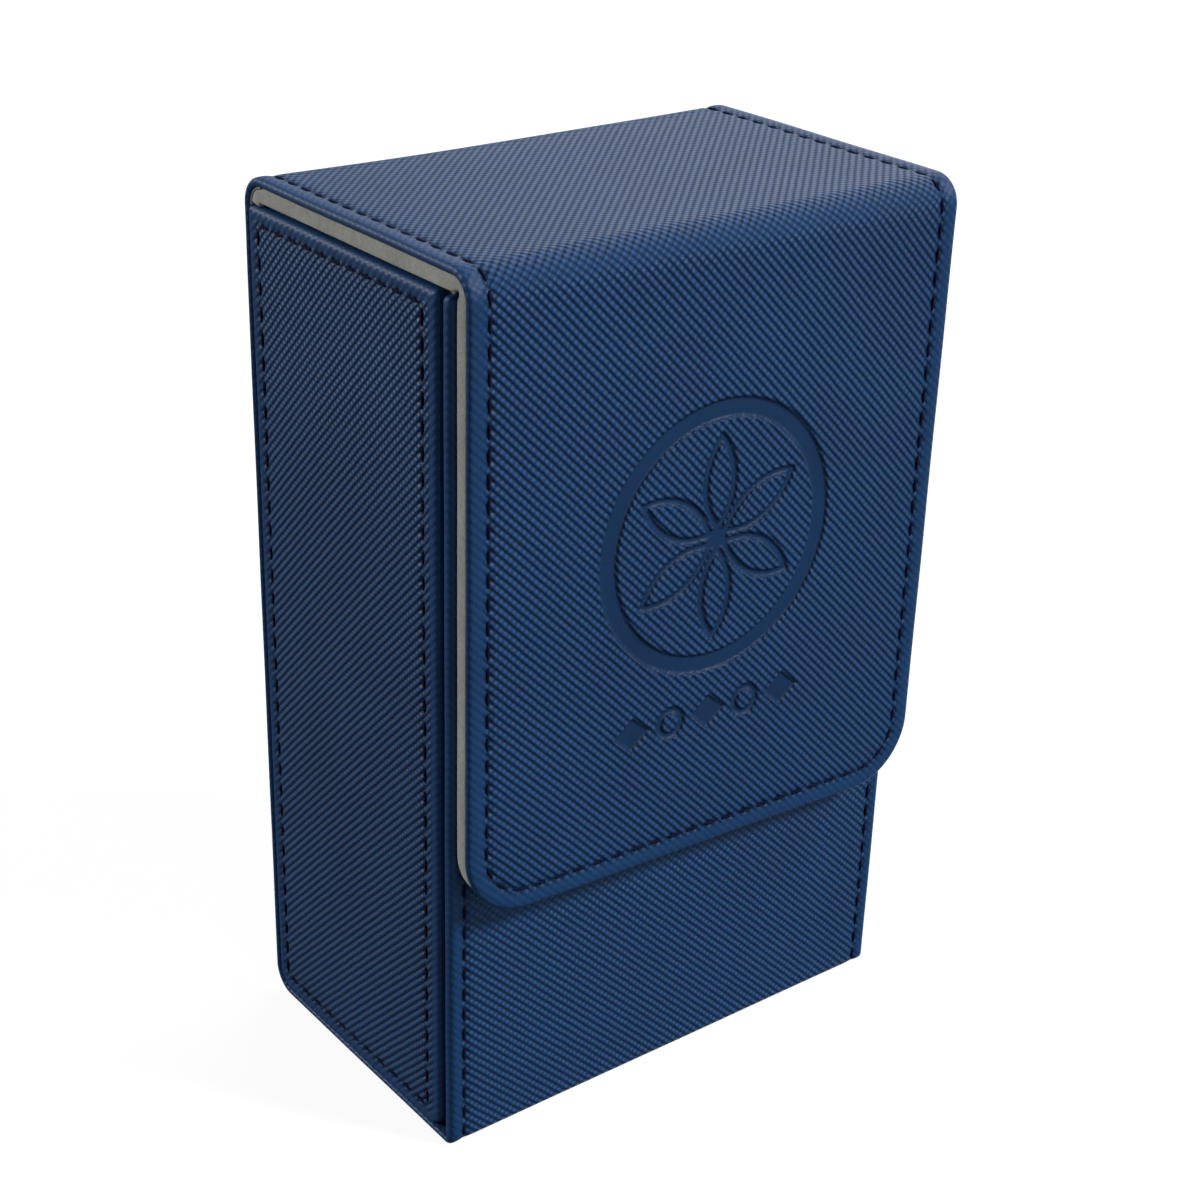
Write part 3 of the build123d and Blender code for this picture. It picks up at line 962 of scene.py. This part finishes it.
def flap_stitches():
    """The seam along the front of the lid and round the flap."""
    middles = (np.arange(FLAP_STITCHES) + 0.5) * FLAP_PITCH
    return threads("flap_stitches", [(hung, flap_seam_at, middles)])


box_leather = leather_box()
hinge_leather = leather_hinge()
flap_leather = leather_flap()
panels = [leather_panel("left"), leather_panel("right")]
card = flap_card()
pad = felt_inside()
hinge_felt = felt_hinge()
box_sewing, hinge_sewing = wrap_stitches()
flap_sewing = flap_stitches()
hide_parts("left_wrap_seam", "right_wrap_seam")
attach(box_sewing, "box")
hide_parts("lid_seams", "flap_seam")

for piece in (box_leather, hinge_leather, flap_leather, panels[0][0], panels[1][0]):
    paint(piece, LEATHER)
paint(card, BOARD)
for piece in (pad, hinge_felt):
    paint(piece, FELT)
for piece in (box_sewing, hinge_sewing, flap_sewing, panels[0][1], panels[1][1]):
    paint(piece, THREAD)

for piece in (hinge_leather, hinge_felt, hinge_sewing):
    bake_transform(piece)
for piece in (flap_leather, flap_sewing):
    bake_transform(piece)
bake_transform(pad)

CAD_LOOKS = {
    "lining": FELT, "board": BOARD, "welt": WELT_PAINTED_SHADE, "magnets": MAGNET, "plates": STEEL,
    "cover": LEATHER, "leather": LEATHER, "wrap": LEATHER, "pad": FELT, "seam": THREAD,
    "seams": THREAD,
}
for name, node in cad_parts.items():
    paint(node, CAD_LOOKS[name.split("_")[-1]])


# ---------------------------------------------------------------- stage, light and camera

def stage_floor():
    """A pale floor that curves up far behind, round the whole object."""
    flat, sweep, wall = 1.6, 0.8, 1.2
    profile = [(flat * 0.5, 0.0), (flat, 0.0)]
    for degrees in range(10, 91, 10):
        angle = math.radians(degrees)
        profile.append((flat + sweep * math.sin(angle), sweep * (1 - math.cos(angle))))
    profile.append((flat + sweep, sweep + wall))
    around = 96
    points, faces = [], []
    for radius, height in profile:
        for k in range(around):
            angle = 2 * math.pi * k / around
            points.append((radius * math.cos(angle), radius * math.sin(angle), height))
    for ring in range(len(profile) - 1):
        for k in range(around):
            a, b = ring * around + k, ring * around + (k + 1) % around
            faces.append((a, a + around, b + around, b))
    faces.append(tuple(range(around)))
    mesh = bpy.data.meshes.new("stage_floor")
    mesh.from_pydata(points, [], faces)
    mesh.polygons.foreach_set("use_smooth", np.ones(len(faces), bool))
    floor = bpy.data.objects.new("stage_floor", mesh)
    bpy.context.scene.collection.objects.link(floor)
    n = Nodes("pale_floor")
    soft = n.noise(n.solid_place(), 60.0, 2.0)
    n.put(Base_Color=n.blend_colour(soft, (0.17, 0.17, 0.17, 1), (0.19, 0.19, 0.19, 1)))
    n.shader.inputs["Roughness"].default_value = 0.9
    n.shader.inputs["Specular IOR Level"].default_value = 0.0
    n.shader.inputs["Emission Color"].default_value = (1.0, 1.0, 1.0, 1)
    n.shader.inputs["Emission Strength"].default_value = 0.88
    floor.data.materials.append(n.material)
    floor.visible_diffuse = False
    floor.visible_glossy = False
    floor.visible_shadow = False


def sun(name, towards, strength, spread):
    """A soft distant light shining from the given direction."""
    light = bpy.data.lights.new(name, "SUN")
    light.energy = strength
    light.angle = math.radians(spread)
    lamp = bpy.data.objects.new(name, light)
    lamp.rotation_mode = "QUATERNION"
    lamp.rotation_quaternion = Vector(towards).to_track_quat("Z", "Y")
    bpy.context.scene.collection.objects.link(lamp)


def soft_sky(ambient, glow, towards, beside):
    """Even light from all round, with a tall pale screen behind the box that fades to one side."""
    world = bpy.data.worlds.new("studio")
    bpy.context.scene.world = world
    world.use_nodes = True
    tree = world.node_tree
    background = tree.nodes["Background"]
    coordinate = tree.nodes.new("ShaderNodeTexCoord")
    shares = []
    for direction, low, high in ((towards, 0.3, 0.75), (beside, -0.45, 0.3)):
        facing = tree.nodes.new("ShaderNodeVectorMath")
        facing.operation = "DOT_PRODUCT"
        facing.inputs[1].default_value = Vector(direction).normalized()
        spread = tree.nodes.new("ShaderNodeMapRange")
        spread.interpolation_type = "SMOOTHSTEP"
        spread.inputs["From Min"].default_value = low
        spread.inputs["From Max"].default_value = high
        tree.links.new(coordinate.outputs["Generated"], facing.inputs[0])
        tree.links.new(facing.outputs["Value"], spread.inputs["Value"])
        shares.append(spread.outputs[0])
    screen = tree.nodes.new("ShaderNodeMath")
    screen.operation = "MULTIPLY"
    tree.links.new(shares[0], screen.inputs[0])
    tree.links.new(shares[1], screen.inputs[1])
    strength = tree.nodes.new("ShaderNodeMapRange")
    strength.inputs["To Min"].default_value = ambient
    strength.inputs["To Max"].default_value = glow
    tree.links.new(screen.outputs[0], strength.inputs["Value"])
    tree.links.new(strength.outputs[0], background.inputs["Strength"])
    background.inputs["Color"].default_value = (1, 1, 1, 1)


stage_floor()
sun("key_light", (1.0, -1.2, 1.35), 3.2, 13)
sun("front_fill", (0.0, -1.0, 0.15), 0.8, 60)
sun("side_light", (-1.0, 1.25, 0.6), 2.5, 14)
soft_sky(0.14, 2.1, (0.614, 0.789, 0.0), (0.789, -0.614, 0.0))

# The camera: seen from the front left and above, slightly rolled
AZIMUTH, ELEVATION, ROLL = math.radians(-37.92), math.radians(26.19), math.radians(1.61)
DISTANCE = 357.8
TARGET = Vector((0, 2.2, 69.2))
back = Vector((math.sin(AZIMUTH) * math.cos(ELEVATION),
               -math.cos(AZIMUTH) * math.cos(ELEVATION), math.sin(ELEVATION)))
right = Vector((math.cos(AZIMUTH), math.sin(AZIMUTH), 0))
up = back.cross(right)
lens = bpy.data.cameras.new("camera")
lens.lens, lens.sensor_width = 66.11, 36.0
lens.shift_x, lens.shift_y = 0.0131, 0.0159
lens.clip_start, lens.clip_end = 0.01, 50
camera = bpy.data.objects.new("camera", lens)
axis_x = math.cos(ROLL) * right + math.sin(ROLL) * up
axis_y = -math.sin(ROLL) * right + math.cos(ROLL) * up
turned = Matrix((axis_x, axis_y, back)).transposed().to_4x4()
camera.matrix_world = Matrix.Translation((TARGET + back * DISTANCE) * MM) @ turned
bpy.context.scene.collection.objects.link(camera)
bpy.context.scene.camera = camera
bpy.context.scene.view_settings.view_transform = "Standard"
